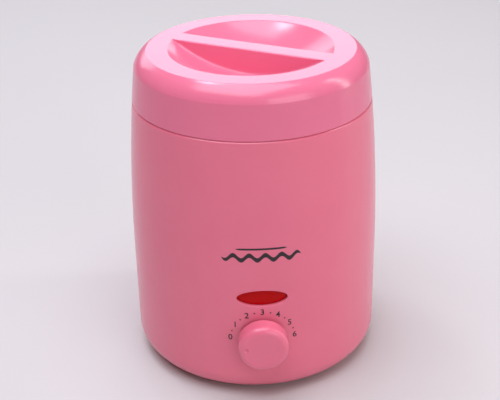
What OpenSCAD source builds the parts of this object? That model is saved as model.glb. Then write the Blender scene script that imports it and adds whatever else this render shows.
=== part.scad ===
// Wax warmer pot: a barrel-shaped electric warmer with a lift-off lid, a lift-out wax pot
// with a folding bail, and a dial thermostat behind a knob on the front.
// Millimetres. +Z is up, -Y is the front, and the origin is on the barrel's axis at the
// surface that it stands on.

/* [Barrel] */
// Widest diameter of the housing
body_d = 118; // [98:1:142]
// Height of the housing, from its bottom rim to the lid seam
body_h = 126.5; // [105:0.5:152]
// Wall thickness of the housing
wall = 2.4; // [1.6:0.1:3]
// Height of the straight part of the wall, above the bottom rim
straight_h = 52; // [40:1:65]
// How far the wall is drawn in at the seam, from the widest radius
draw_in = 3.6; // [2.5:0.1:5]
// Radius of the fillet at the foot of the wall
foot_fillet = 10; // [7:0.5:12]
// Chamfer on each side of the lid seam
seam_chamfer = 0.5; // [0.2:0.1:0.8]
// Width of the flat land that the lid sits on
land_w = 5.4; // [4.5:0.1:6]
// Depth of the pocket inside the land
pocket_depth = 6; // [5.5:0.1:8]
// Width of the ledge in the pocket that carries the well
ledge_w = 6.5; // [5.5:0.1:8]
// Thickness of that ledge
deck_t = 2.5; // [2:0.1:3.5]

/* [Lid] */
// Height of the lid's band above the seam
band_h = 16.1; // [12:0.1:20]
// Height of the rounded shoulder above the band
shoulder_h = 7.1; // [5:0.1:9]
// Width of the shoulder, inward from the band
shoulder_w = 6; // [4:0.1:8]
// Radius of the shoulder's curve
shoulder_r = 12; // [10:0.5:20]
// Width of the flat ring on top
ring_w = 9.7; // [7:0.1:12]
// Depth of the finger dish
dish_depth = 12; // [8:0.5:14]
// Width of the grip bar across the dish
grip_w = 10; // [6:0.5:12]
// Direction of the grip bar, from the X axis
grip_angle = -28.3; // [-90:0.1:90]
// Wall thickness of the lid
lid_t = 2; // [1.5:0.1:2.4]
// Length of the spigot below the seam
spigot_h = 2.5; // [1.5:0.1:2.8]
// Thickness of the spigot
spigot_t = 1.6; // [1:0.1:2]

/* [Well and pot] */
// Room under the well for the thermostat and the leads, above the bottom rim
works_h = 55; // [50:0.5:66]
// Wall thickness of the heating well
well_t = 1.5; // [1.2:0.1:2]
// Thickness of the flange on the well
well_flange_t = 1; // [0.8:0.1:1.2]
// Thickness of the gasket under the flange
gasket_t = 1; // [0.6:0.1:1.2]
// Wall thickness of the wax pot
pot_t = 1; // [0.8:0.1:1.5]
// Radius of the corner at the bottom of the wax pot
pot_corner = 4; // [2:0.5:8]
// Diameter of the bail's wire
wire_d = 2.5; // [2:0.1:2.8]
// Height of the bail's pivot above the pot's rim
pivot_h = 3.2; // [2.9:0.1:4]

/* [Heater] */
// Height of the heater band
heater_h = 26; // [16:1:30]
// Thickness of the heater band
heater_t = 1; // [0.8:0.1:1.2]
// Height of the heater band above the well's underside
heater_lift = 7; // [5:0.5:9]
// Thickness of the insulation sleeve
sleeve_t = 3; // [2:0.5:4]

/* [Dial and window] */
// Height of the dial's axis above the bottom rim
dial_h = 30; // [24:0.5:34]
// Diameter of the knob
knob_d = 23; // [18:0.5:28]
// Length of the knob, from its skirt to its face
knob_len = 8; // [7:0.5:12]
// Wall thickness of the knob
knob_t = 1.8; // [1.2:0.1:2.2]
// Rounding of the knob's front edge
knob_round = 3; // [1:0.5:4]
// Diameter of the thermostat's shaft
shaft_d = 6; // [5:0.5:6.5]
// Height of the window above the bottom rim
window_h = 52; // [50:0.5:54]
// Width of the window
window_w = 23; // [18:0.5:26]
// Height of the window's opening
window_t = 8; // [6:0.5:9]

/* [Base and inlet] */
// Thickness of the base plate
base_t = 2.4; // [2:0.1:3]
// Height of the feet below the base plate
foot_h = 2; // [1.5:0.1:4]
// Diameter of a foot
foot_d = 12; // [9:0.5:14]
// Height of the cord inlet above the bottom rim
inlet_h = 18; // [16:0.5:20]
// Diameter of the bore in the cord gland
cord_bore = 6.6; // [5:0.1:7.4]

/* [Clearances] */
// Radial clearance of a shaft that turns in a bush
run_gap = 0.05; // [0.02:0.01:0.1]
// Clearance between pieces that are fixed together
fit_gap = 0.05; // [0.02:0.01:0.1]
// Gap under a piece that rests on another and lifts off
seat_gap = 0.1; // [0.05:0.01:0.2]
// Radial gap between the base plate and the bottom rim
base_gap = 0.3; // [0.2:0.05:0.5]
// Radial gap round the well's flange in the pocket
flange_gap = 1; // [0.5:0.1:1.5]
// Radial gap between the well and the ledge
hole_gap = 1.2; // [0.8:0.1:2]
// Radial gap between the pot and the well
pot_gap = 0.8; // [0.5:0.1:1.5]
// Radial gap between the spigot and the pocket
spigot_gap = 0.4; // [0.2:0.1:0.6]
// Radial gap between the pot's rim and the spigot
rim_gap = 1; // [0.6:0.1:1.5]
// Gap between the pot's bottom and the well's floor
floor_gap = 0.5; // [0.3:0.1:1]
// Gap between the knob's skirt and the wall
knob_gap = 1; // [0.6:0.1:2]

/* [Hidden] */
$fn = 96;
over = 1;              // how far a cutting shape runs past what it cuts

// Colours
shell_pink = "#e8849f";
pale_pink = "#f2a3ba";
metal_grey = "#b9bcc0";
steel_grey = "#8f9499";
rubber_black = "#26262a";
lens_red = "#b00012";
glass_clear = "#f3d9c8";
ceramic_white = "#ece8df";
mica_tan = "#b59a6a";
fibre_white = "#e3e0d6";
nylon_white = "#e9e6dc";
brass_gold = "#c9a24b";
bakelite_brown = "#3b2a22";
lead_brown = "#6b4226";
lead_blue = "#2f5fa8";
lead_white = "#eeeae2";
earth_green = "#6f9c2f";

// Levels
body_r = body_d / 2;
rim_z = foot_h;
straight_z = rim_z + straight_h;
seam_z = rim_z + body_h;
ledge_z = seam_z - pocket_depth;
deck_z = ledge_z - deck_t;
gasket_z = ledge_z + gasket_t;
flange_z = gasket_z + well_flange_t;
well_z = rim_z + works_h;
well_floor_z = well_z + well_t;
pot_rim_z = flange_z + seat_gap;
pot_rim_t = 1;
pot_top_z = pot_rim_z + pot_rim_t;
pot_z = well_floor_z + floor_gap;
lid_z = seam_z + seat_gap;
band_z = seam_z + band_h;
top_z = band_z + shoulder_h;
base_z = rim_z + base_t;
dial_z = rim_z + dial_h;
window_z = rim_z + window_h;
inlet_z = rim_z + inlet_h;

// Radii, from the outside in
bulge_r = (pow(body_h - straight_h, 2) + pow(draw_in, 2)) / (2 * draw_in);
inner_r = body_r - wall;
seam_r = body_r - draw_in;
pocket_r = seam_r - land_w;
deck_hole_r = pocket_r - ledge_w;
well_flange_r = pocket_r - flange_gap;
well_r = deck_hole_r - hole_gap;
well_inner_r = well_r - well_t;
pot_r = well_inner_r - pot_gap;
spigot_r = pocket_r - spigot_gap;
spigot_inner_r = spigot_r - spigot_t;
pot_rim_r = spigot_inner_r - rim_gap;
opening_r = body_r - foot_fillet - 1.5;
base_r = opening_r - base_gap;

// Radius of the barrel's outer surface at height z
function barrel_r(z) =
  z <= straight_z ? body_r : body_r - bulge_r + sqrt(pow(bulge_r, 2) - pow(z - straight_z, 2));

// Points on an arc about centre c, from angle a0 to a1, in n steps
function arc(c, r, a0, a1, n) =
  [for (i = [0:n]) let (a = a0 + (a1 - a0) * i / n) [c[0] + r * cos(a), c[1] + r * sin(a)]];

// Points on the barrel's curve moved inward by t, from height z0 to z1, in n steps
function barrel_curve(z0, z1, t, n) =
  [for (i = [0:n]) let (z = z0 + (z1 - z0) * i / n) [barrel_r(z) - t, z]];

// Ellipse of half axes a and b, with n points
function ellipse(a, b, n) = [for (i = [0:n - 1]) [a * cos(360 * i / n), b * sin(360 * i / n)]];

// Centre of the arc of radius r that runs from p to q and bulges to its left
function arc_centre(p, q, r) =
  let (m = (p + q) / 2, d = q - p, h = sqrt(pow(r, 2) - d * d / 4))
  m + h * [-d[1], d[0]] / norm(d);

// Direction of point p from c, in degrees
function heading(c, p) = atan2(p[1] - c[1], p[0] - c[0]);

module ring(r_in, r_out, z0, z1) {
  translate([0, 0, z0]) difference() {
    cylinder(h = z1 - z0, r = r_out);
    translate([0, 0, -over]) cylinder(h = z1 - z0 + 2 * over, r = r_in);
  }
}

// Part of a ring, centred on heading a and wide degrees long
module ring_part(r_in, r_out, z0, z1, a, wide) {
  rotate([0, 0, a - wide / 2])
    rotate_extrude(angle = wide)
      translate([r_in, z0]) square([r_out - r_in, z1 - z0]);
}

module rod_x(x0, x1, r) {
  translate([x0, 0, 0]) rotate([0, 90, 0]) cylinder(h = x1 - x0, r = r);
}

module rod_y(y0, y1, r) {
  translate([0, y0, 0]) rotate([-90, 0, 0]) cylinder(h = y1 - y0, r = r);
}

module rod_z(z0, z1, r) {
  translate([0, 0, z0]) cylinder(h = z1 - z0, r = r);
}

// A box from corner p to corner q
module block(p, q) {
  translate(p) cube(q - p);
}

// Hexagon nut along Z from z0 to z1, across the flats, with a bore of radius r
module nut(z0, z1, flats, r) {
  translate([0, 0, z0]) difference() {
    cylinder(h = z1 - z0, r = flats / sqrt(3), $fn = 6);
    translate([0, 0, -over]) cylinder(h = z1 - z0 + 2 * over, r = r);
  }
}

// Pan-head screw along +Z: the head starts at z = 0 and the shank follows it
module screw(head_r, head_h, shank_r, shank_len) {
  slot_w = head_r * 0.28;
  slot_l = head_r * 1.1;
  difference() {
    union() {
      rod_z(0, head_h, head_r);
      rod_z(head_h - fit_gap, head_h + shank_len, shank_r);
    }
    for (a = [0, 90]) rotate([0, 0, a])
      block([-slot_l / 2, -slot_w / 2, -over], [slot_l / 2, slot_w / 2, head_h * 0.5]);
  }
}

// ---------------------------------------------------------------- housing

boss_r = 4;
boss_top = 17;                       // height of a boss above the bottom rim
boss_circle = base_r - boss_r - 0.2;
boss_turn = [45, 135, 225, 315];
pilot_r = 1.5;
screw_head_r = 2.9;
screw_head_h = 1.3;
shaft_hole_gap = 1;
gland_body_r = 6;
gland_flange_r = 8;
gland_flange_t = 2;
gland_pad_r = 10;
gland_seat_y = body_r - 1.6;
gland_pad_y = gland_seat_y - 3.4;
pillar_x = 17.5;
pillar_r = 3;
pillar_y = -(inner_r - 7.6);         // rear end of the two pillars beside the window

module shell_profile() {
  c = [body_r - foot_fillet, rim_z + foot_fillet];
  polygon(concat(
    [[opening_r, rim_z]],
    arc(c, foot_fillet, -90, 0, 12),
    barrel_curve(straight_z, seam_z - seam_chamfer, 0, 16),
    [[seam_r - seam_chamfer, seam_z], [pocket_r, seam_z], [pocket_r, ledge_z],
     [deck_hole_r, ledge_z], [deck_hole_r, deck_z]],
    barrel_curve(deck_z, straight_z, wall, 14),
    arc(c, foot_fillet - wall, 0, -90, 10),
    [[opening_r, rim_z + wall]]
  ));
}

// Everything inside the barrel's outer surface
module barrel_solid() {
  rotate_extrude() polygon(concat(
    [[0, rim_z], [opening_r, rim_z]],
    arc([body_r - foot_fillet, rim_z + foot_fillet], foot_fillet - wall / 2, -90, 0, 10),
    barrel_curve(straight_z, deck_z, wall / 2, 14),
    [[0, deck_z]]
  ));
}

module window_prism(grow, y0, y1) {
  translate([0, y0, window_z]) rotate([-90, 0, 0])
    linear_extrude(height = y1 - y0)
      polygon(ellipse(window_w / 2 + grow, window_t / 2 + grow, 60));
}

module housing() {
  color(shell_pink) difference() {
    union() {
      rotate_extrude() shell_profile();
      intersection() {
        barrel_solid();
        union() {
          // bosses for the base screws, each with a web to the wall
          for (a = boss_turn) rotate([0, 0, a]) {
            translate([boss_circle, 0, 0]) rod_z(base_z, rim_z + boss_top, boss_r);
            block([boss_circle, -1, base_z], [body_r, 1, rim_z + boss_top - 2]);
          }
          // pillars for the lamp holder
          for (s = [-1, 1]) translate([s * pillar_x, 0, window_z]) rod_y(-body_r, pillar_y, pillar_r);
          // pad behind the cord inlet
          translate([0, 0, inlet_z]) rod_y(gland_pad_y, body_r, gland_pad_r);
        }
      }
    }
    for (a = boss_turn) rotate([0, 0, a]) translate([boss_circle, 0, 0])
      rod_z(base_z - over, rim_z + boss_top - 2, pilot_r);
    for (s = [-1, 1]) translate([s * pillar_x, 0, window_z]) rod_y(pillar_y - 4.5, pillar_y + over, 1);
    translate([0, 0, dial_z]) rod_y(-body_r - over, -inner_r + 6, shaft_d / 2 + shaft_hole_gap);
    window_prism(fit_gap, -body_r - over, -inner_r + 6);
    translate([0, 0, inlet_z]) {
      rod_y(gland_pad_y - over, body_r + over, gland_body_r);
      rod_y(gland_seat_y, body_r + over, gland_flange_r + 0.5);
    }
  }
}

// ---------------------------------------------------------------- lid

dish_r = seam_r - (seam_r - barrel_r(band_z)) - shoulder_w - ring_w;
dish_sphere_r = (pow(dish_r, 2) + pow(dish_depth, 2)) / (2 * dish_depth);
dish_centre_z = top_z - dish_depth + dish_sphere_r;
shoulder_foot = [barrel_r(band_z), band_z];
shoulder_top = [barrel_r(band_z) - shoulder_w, top_z];
shoulder_c = arc_centre(shoulder_foot, shoulder_top, shoulder_r);
dish_edge_a = asin(dish_r / dish_sphere_r);
dish_inner_a = acos((dish_centre_z - top_z + lid_t) / (dish_sphere_r + lid_t));

module lid_profile() {
  a_foot = heading(shoulder_c, shoulder_foot);
  a_top = heading(shoulder_c, shoulder_top);
  outer = arc(shoulder_c, shoulder_r, a_foot, a_top, 8);
  inner = [for (p = arc(shoulder_c, shoulder_r - lid_t, a_top, a_foot, 8)) if (p[1] < top_z - lid_t) p];
  dish_c = [0, dish_centre_z];
  polygon(concat(
    [[spigot_inner_r, seam_z - spigot_h], [spigot_r, seam_z - spigot_h], [spigot_r, lid_z],
     [seam_r - seam_chamfer, lid_z]],
    barrel_curve(lid_z + seam_chamfer, band_z, 0, 6),
    outer,
    arc(dish_c, dish_sphere_r, -90 + dish_edge_a, -90, 16),
    arc(dish_c, dish_sphere_r + lid_t, -90, -90 + dish_inner_a, 16),
    [[shoulder_top[0] - 1, top_z - lid_t]],
    inner,
    [for (i = [0:4]) let (z = band_z - 1 + (lid_z + lid_t - band_z + 1) * i / 4) [barrel_r(z) - lid_t, z]],
    [[spigot_inner_r, lid_z + lid_t]]
  ));
}

module lid() {
  color(shell_pink) difference() {
    union() {
      rotate_extrude() lid_profile();
      // grip bar, from the dish up to the level of the ring
      intersection() {
        rotate([0, 0, grip_angle])
          block([-dish_r - 0.5, -grip_w / 2, top_z - dish_depth - lid_t], [dish_r + 0.5, grip_w / 2, top_z]);
        translate([0, 0, dish_centre_z]) sphere(r = dish_sphere_r + lid_t / 2);
      }
    }
    // the bar is hollow from below
    rotate([0, 0, grip_angle])
      block([-dish_r + 5, -grip_w / 2 + lid_t, top_z - dish_depth - 2 * lid_t],
            [dish_r - 5, grip_w / 2 - lid_t, top_z - lid_t]);
  }
}

// ---------------------------------------------------------------- base

foot_circle = base_r - foot_d / 2 - 3.2;
foot_stem_r = 2.2;
foot_barb_r = 3;
barb_h = 2;
block_w = 24;
block_l = 10;
block_h = 10;
block_y = foot_circle - foot_barb_r - 3 - block_l;      // front face of the terminal block
block_top = base_z + block_h;
pole_x = 8;
pole_z = base_z + 4.6;
fix_x = 4;

module base_plate() {
  slot_l = 30;
  slot_w = 2.4;
  pitch = 5.5;
  slots = floor((foot_circle - foot_d / 2 + block_y - 8) / pitch);
  color(pale_pink) difference() {
    rod_z(rim_z, base_z, base_r);
    for (a = boss_turn) rotate([0, 0, a]) translate([boss_circle, 0, 0]) {
      rod_z(rim_z - over, base_z + over, pilot_r + 0.2);
      rod_z(rim_z - over, rim_z + screw_head_h + 0.1, screw_head_r + 0.3);
    }
    for (a = [0, 90, 180, 270]) rotate([0, 0, a]) translate([foot_circle, 0, 0])
      rod_z(rim_z - over, base_z + over, foot_stem_r + fit_gap);
    for (s = [-1, 1])
      translate([s * fix_x, block_y + block_l / 2, 0]) rod_z(rim_z - over, base_z + over, 1.2);
    for (i = [0:slots - 1]) translate([0, block_y - 5 - i * pitch, 0]) {
      block([-slot_l / 2, -slot_w / 2, rim_z - over], [slot_l / 2, slot_w / 2, base_z + over]);
      for (s = [-1, 1]) translate([s * slot_l / 2, 0, 0]) rod_z(rim_z - over, base_z + over, slot_w / 2);
    }
  }
}

module rubber_foot(turn) {
  color(rubber_black) rotate([0, 0, turn]) translate([foot_circle, 0, 0]) union() {
    rod_z(0.6, rim_z, foot_d / 2);
    rod_z(0, 0.7, foot_d / 2 - 0.6);
    rod_z(rim_z - fit_gap, base_z + 0.1, foot_stem_r);
    rod_z(base_z, base_z + barb_h, foot_barb_r);
  }
}

module base_screws() {
  color(steel_grey) for (a = boss_turn) rotate([0, 0, a])
    translate([boss_circle, 0, rim_z + 0.1]) screw(screw_head_r, screw_head_h, pilot_r, 10);
}

// ---------------------------------------------------------------- window

lens_recess = 1;
lens_flange = 1.6;
lens_flange_t = 1.2;
holder_r = inner_r - lens_flange_t - 0.3;     // front of the holder, behind the lens
holder_half = 12.5;
lamp_r = 2;
lamp_y = pillar_y - 1.4 - lamp_r - 0.2;
lamp_half = 6;
lamp_hole_x = holder_half - 2.5;              // holes for the lamp's leads

module indicator_lens() {
  color(lens_red) union() {
    intersection() {
      window_prism(0, -body_r, -inner_r + 8);
      ring(inner_r - lens_flange_t, body_r - lens_recess, window_z - 10, window_z + 10);
    }
    intersection() {
      window_prism(lens_flange, -body_r, -inner_r + 8);
      ring(inner_r - lens_flange_t, inner_r - 0.12, window_z - 10, window_z + 10);
    }
  }
}

module lamp_holder() {
  half_z = window_t / 2 + 1.2;
  ear_z = 3.2;
  color(nylon_white) difference() {
    union() {
      intersection() {
        block([-holder_half, -body_r, window_z - half_z],
              [holder_half, pillar_y + fit_gap, window_z + half_z]);
        rod_z(window_z - 10, window_z + 10, holder_r);
      }
      block([-pillar_x - 4, pillar_y, window_z - ear_z], [pillar_x + 4, pillar_y + 1.5, window_z + ear_z]);
    }
    block([-holder_half + 1.5, -body_r, window_z - half_z + 1.5],
          [holder_half - 1.5, pillar_y - 1.4, window_z + half_z - 1.5]);
    for (s = [-1, 1]) {
      translate([s * lamp_hole_x, 0, window_z]) rod_y(-body_r + 6, pillar_y + 3, 1);
      translate([s * pillar_x, 0, window_z]) rod_y(pillar_y - over, pillar_y + 3, 1.1);
    }
  }
}

module holder_screws() {
  color(steel_grey) for (s = [-1, 1])
    translate([s * pillar_x, pillar_y + 1.5 + 1.2, window_z]) rotate([90, 0, 0]) screw(2.2, 1.2, 1, 5);
}

module neon_lamp() {
  color(glass_clear) translate([0, lamp_y, window_z]) rod_x(-lamp_half, lamp_half, lamp_r);
}

// ---------------------------------------------------------------- knob and thermostat

shaft_r = shaft_d / 2;
knob_r = knob_d / 2;
skirt_y = -body_r - knob_gap;
face_y = skirt_y - knob_len;
hub_r = shaft_r + 2.2;
hub_y = skirt_y - 0.5;                       // rear end of the hub
bore_y = face_y + knob_t + 0.3;              // bottom of the shaft's hole
shaft_y = bore_y + 0.2;                      // front end of the shaft
flat_depth = 0.6;
plate_t = 1.2;
plate_y = -(inner_r - 11.6);                 // front of the bracket
stat_y = plate_y + plate_t;                  // front of the thermostat's body
stat_l = 11.8;
stat_w = 14;
stat_h = 18;
stat_back = stat_y + stat_l;
bush_r = 4.5;
bush_y = plate_y - 6;
nut_t = 3.2;
pointer_r = 7.84;
pointer_turn = 175.5;                        // heading of the pointer when the dial is at 0

// Shaft's section: a circle with a flat on the side of the pointer
module shaft_section(grow) {
  difference() {
    circle(r = shaft_r + grow);
    translate([-shaft_r - 2 * over, -shaft_r - over])
      square([2 * over + flat_depth - grow, shaft_d + 2 * over]);
  }
}

module control_knob() {
  profile = concat(
    [[0, 0]],
    arc([knob_r - knob_round, knob_round], knob_round, -90, 0, 8),
    [[knob_r, knob_len], [knob_r - knob_t, knob_len]],
    arc([knob_r - knob_round, knob_round + 0.5], max(knob_round - knob_t, 0.5), 0, -90, 5),
    [[hub_r, knob_t], [hub_r, knob_len - 0.5], [0, knob_len - 0.5]]
  );
  color(shell_pink) difference() {
    translate([0, face_y, dial_z]) rotate([-90, 0, 0]) rotate_extrude() polygon(profile);
    translate([0, bore_y, dial_z]) rotate([-90, 0, 0])
      linear_extrude(height = knob_len + over) shaft_section(run_gap);
    // dimple that points to the number
    translate([pointer_r * cos(pointer_turn), 0, dial_z + pointer_r * sin(pointer_turn)])
      rod_y(face_y - over, face_y + 0.5, 1);
  }
}

module knob_clip() {
  color(steel_grey) translate([0, hub_y - 3.4, dial_z]) rotate([-90, 0, 0]) rotate([0, 0, 20])
    rotate_extrude(angle = 320) translate([hub_r + fit_gap, 0]) square([0.7, 2.4]);
}

module thermostat_shaft() {
  color(metal_grey) translate([0, 0, dial_z]) union() {
    translate([0, shaft_y, 0]) rotate([-90, 0, 0])
      linear_extrude(height = hub_y - shaft_y + 0.5) shaft_section(0);
    rod_y(hub_y + 0.4, stat_y - 0.1, shaft_r);
    rod_y(bush_y - 1.2, bush_y - 0.1, shaft_r + 0.9);
  }
}

module thermostat_bush() {
  color(brass_gold) translate([0, 0, dial_z]) difference() {
    rod_y(bush_y, stat_y, bush_r);
    rod_y(bush_y - over, stat_y + over, shaft_r + run_gap);
  }
}

module thermostat_nut() {
  color(steel_grey) translate([0, plate_y, dial_z]) rotate([90, 0, 0]) nut(0, nut_t, 11, bush_r + fit_gap);
}

module thermostat_body() {
  color(bakelite_brown) difference() {
    block([-stat_w / 2, stat_y, dial_z - stat_h / 2], [stat_w / 2, stat_back, dial_z + stat_h / 2]);
    for (s = [-1, 1]) translate([s * (stat_w / 2 - 2.2), 0, dial_z + stat_h / 2 - 2.2])
      rod_y(stat_y - over, stat_back + over, 1);
  }
}

tab_w = 4.8;
tab_t = 0.8;
tab_l = 8;
tab_x = 4;
tab_z = dial_z - 5;
cover_w = 6.4;
cover_t = 3.2;
cover_l = 10;

module thermostat_terminals() {
  color(brass_gold) for (s = [-1, 1])
    block([s * tab_x - tab_w / 2, stat_back, tab_z - tab_t / 2],
          [s * tab_x + tab_w / 2, stat_back + tab_l, tab_z + tab_t / 2]);
}

blade_w = 6;
blade_t = 0.6;
blade_y = stat_y + 6;
blade_l = 19;

module thermostat_blade() {
  color(metal_grey) union() {
    block([-blade_w / 2, blade_y, dial_z + stat_h / 2], [blade_w / 2, blade_y + blade_t, well_z - 0.1]);
    block([-blade_w / 2, blade_y, well_z - 0.1 - blade_t], [blade_w / 2, blade_y + blade_l, well_z - 0.1]);
  }
}

stud_r = 1.5;
stud_l = 5;
bracket_half = 10;
bracket_foot = 15;
bracket_slot = 3.6;                          // half width of the slot that the blade passes
bracket_stud = [bracket_half - 3.1, plate_y + 9.5];
nut_flats = 5.5;
small_nut_t = 2.2;

module thermostat_bracket() {
  color(metal_grey) difference() {
    union() {
      block([-bracket_half, plate_y, dial_z - stat_h / 2 - 1], [bracket_half, plate_y + plate_t, well_z]);
      block([-bracket_half, plate_y, well_z - plate_t], [bracket_half, plate_y + bracket_foot, well_z]);
    }
    block([-bracket_slot, plate_y + plate_t, well_z - plate_t - over],
          [bracket_slot, plate_y + bracket_foot + over, well_z + over]);
    translate([0, 0, dial_z]) rod_y(plate_y - over, plate_y + plate_t + over, bush_r + fit_gap);
    for (s = [-1, 1]) translate([s * bracket_stud[0], bracket_stud[1], 0])
      rod_z(well_z - plate_t - over, well_z + over, stud_r + fit_gap);
  }
}

module bracket_nuts() {
  color(steel_grey) for (s = [-1, 1]) translate([s * bracket_stud[0], bracket_stud[1], 0])
    nut(well_z - plate_t - small_nut_t, well_z - plate_t, nut_flats, stud_r + fit_gap);
}

// ---------------------------------------------------------------- heating well

clip_turn = [30, 150, 270];
clip_wide = 16;
clip_t = 1;
clip_h = 12;
clip_screw_z = deck_z - 7;
fuse_r = 2;
fuse_half = 5.5;
fuse_y = 12;
fuse_z = well_z - fuse_r - 0.6;
fuse_stud_y = fuse_y + 9;

module heating_well() {
  color(metal_grey) difference() {
    union() {
      rotate_extrude() polygon([
        [0, well_z], [well_r, well_z], [well_r, gasket_z], [well_flange_r, gasket_z],
        [well_flange_r, flange_z], [well_inner_r, flange_z], [well_inner_r, well_floor_z], [0, well_floor_z]
      ]);
      for (s = [-1, 1]) translate([s * bracket_stud[0], bracket_stud[1], 0])
        rod_z(well_z - stud_l, well_z + 0.5, stud_r);
      translate([0, fuse_stud_y, 0]) rod_z(well_z - stud_l, well_z + 0.5, stud_r);
    }
    for (a = clip_turn)
      rotate([0, 0, a]) translate([0, 0, clip_screw_z]) rod_x(well_r - 1.2, well_r + over, 1.2);
  }
}

module well_gasket() {
  color(fibre_white) ring(well_r + 2.5, well_flange_r + 0.5, ledge_z, gasket_z);
}

module well_clips() {
  color(metal_grey) for (a = clip_turn) difference() {
    union() {
      ring_part(well_r + fit_gap, well_r + fit_gap + clip_t, deck_z - clip_h, deck_z, a, clip_wide);
      ring_part(well_r + clip_t, deck_hole_r + 4.5, deck_z - clip_t, deck_z, a, clip_wide);
    }
    rotate([0, 0, a]) translate([0, 0, clip_screw_z]) rod_x(well_r - over, well_r + 3, 1.3);
  }
}

module clip_screws() {
  color(steel_grey) for (a = clip_turn) rotate([0, 0, a])
    translate([well_r + clip_t + 0.3 + 1.4, 0, clip_screw_z]) rotate([0, -90, 0]) screw(2.4, 1.4, 1.15, 2.2);
}

// ---------------------------------------------------------------- heater

band_r = well_r + fit_gap;
band_out_r = band_r + heater_t;
heater_z = well_z + heater_lift;
heater_top = heater_z + heater_h;
back = 90;                                   // heading of the back of the barrel
strap_r = band_out_r + fit_gap;
strap_t = 0.7;
strap_w = 12;
strap_z = heater_z + heater_h - strap_w - 1;
lug_l = 6;
lug_gap = 3;                                 // half of the gap between the two lugs
terminal_turn = 15;                          // headings of the two heater terminals from the back
sleeve_r = strap_r + strap_t + 0.6;
sleeve_open = 50;
sleeve_z = heater_z - 2;
sleeve_top = min(heater_top + 10, deck_z - clip_h - 2);

module heater_band() {
  color(mica_tan) ring_part(band_r, band_out_r, heater_z, heater_top, back + 180, 350);
}

module heater_clamp() {
  half = asin((lug_gap + strap_t / 2) / strap_r);
  color(metal_grey) difference() {
    union() {
      ring_part(strap_r, strap_r + strap_t, strap_z, strap_z + strap_w, back + 180, 360 - 2 * half);
      for (s = [-1, 1]) {
        x0 = s > 0 ? lug_gap : -lug_gap - strap_t;
        block([x0, strap_r - 0.1, strap_z], [x0 + strap_t, strap_r + strap_t + lug_l, strap_z + strap_w]);
      }
    }
    translate([0, strap_r + strap_t + lug_l / 2 + 0.3, strap_z + strap_w / 2]) rod_x(-10, 10, 1.6);
  }
}

module clamp_screw() {
  color(steel_grey)
    translate([lug_gap + strap_t + 1.6, strap_r + strap_t + lug_l / 2 + 0.3, strap_z + strap_w / 2])
      rotate([0, -90, 0]) screw(2.6, 1.6, 1.5, 2 * lug_gap + 2 * strap_t + 4);
}

module clamp_nut() {
  color(steel_grey)
    translate([-lug_gap - strap_t - 2.4, strap_r + strap_t + lug_l / 2 + 0.3, strap_z + strap_w / 2])
      rotate([0, 90, 0]) nut(0, 2.4, 5, 1.5 + fit_gap);
}

post_z = heater_z + 1;
post_h = 8;
post_y = band_out_r + 3.2;                   // distance of a tab from the axis
heater_tab_l = 8;

module heater_terminals() {
  color(ceramic_white) for (s = [-1, 1]) rotate([0, 0, s * terminal_turn]) union() {
    intersection() {
      block([-3, band_out_r - 2, post_z], [3, post_y + 1.6, post_z + post_h]);
      ring(band_out_r + fit_gap, post_y + 8, post_z - over, post_z + post_h + over);
    }
    block([-tab_w / 2, post_y - tab_t / 2, post_z - heater_tab_l],
          [tab_w / 2, post_y + tab_t / 2, post_z + 0.5]);
  }
}

module insulation_sleeve() {
  color(fibre_white)
    ring_part(sleeve_r, sleeve_r + sleeve_t, sleeve_z, sleeve_top, back + 180, 360 - sleeve_open);
}

// ---------------------------------------------------------------- thermal fuse

module thermal_fuse() {
  color(ceramic_white) translate([0, fuse_y, fuse_z]) union() {
    rod_x(-fuse_half, fuse_half, fuse_r);
    rod_x(-fuse_half - 6, fuse_half + 6, 0.5);
  }
}

module fuse_clip() {
  lip = fuse_y - fuse_r - 0.1;
  color(metal_grey) difference() {
    union() {
      block([-4, fuse_y + fuse_r + 0.1, well_z - 0.8], [4, fuse_stud_y + 4, well_z]);
      block([-4, fuse_y + fuse_r + 0.1, fuse_z - fuse_r - 0.9], [4, fuse_y + fuse_r + 0.9, well_z]);
      block([-4, lip - 0.8, fuse_z - fuse_r - 0.9], [4, fuse_y + fuse_r + 0.9, fuse_z - fuse_r - 0.1]);
      block([-4, lip - 0.8, fuse_z - fuse_r - 0.9], [4, lip, fuse_z]);
    }
    translate([0, fuse_stud_y, 0]) rod_z(well_z - 2, well_z + over, stud_r + fit_gap);
  }
}

lug_t = 0.8;

module fuse_nut() {
  color(steel_grey) translate([0, fuse_stud_y, 0])
    nut(well_z - 0.8 - lug_t - small_nut_t, well_z - 0.8 - lug_t, nut_flats, stud_r + fit_gap);
}

// ---------------------------------------------------------------- wax pot

ear_x = pot_rim_r - 4;                       // inner face of an ear
ear_t = 1.2;
ear_half = 7;
ear_foot = 2.2;
ear_top_r = pivot_h - 0.2;
wire_r = wire_d / 2;
pin_gap = run_gap;
bail_r = ear_x - 2;                          // radius of the bail's centre line
pivot_z = pot_top_z + pivot_h;
bail_droop = asin((pivot_h - wire_r - seat_gap) / bail_r);
bail_head_r = 1.7;

module wax_pot() {
  color(metal_grey) rotate_extrude() polygon(concat(
    [[0, pot_z]],
    arc([pot_r - pot_corner, pot_z + pot_corner], pot_corner, -90, 0, 8),
    [[pot_r, pot_rim_z], [pot_rim_r, pot_rim_z], [pot_rim_r, pot_top_z], [pot_r - pot_t, pot_top_z]],
    arc([pot_r - pot_corner, pot_z + pot_corner], pot_corner - pot_t, 0, -90, 8),
    [[0, pot_z + pot_t]]
  ));
}

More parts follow.
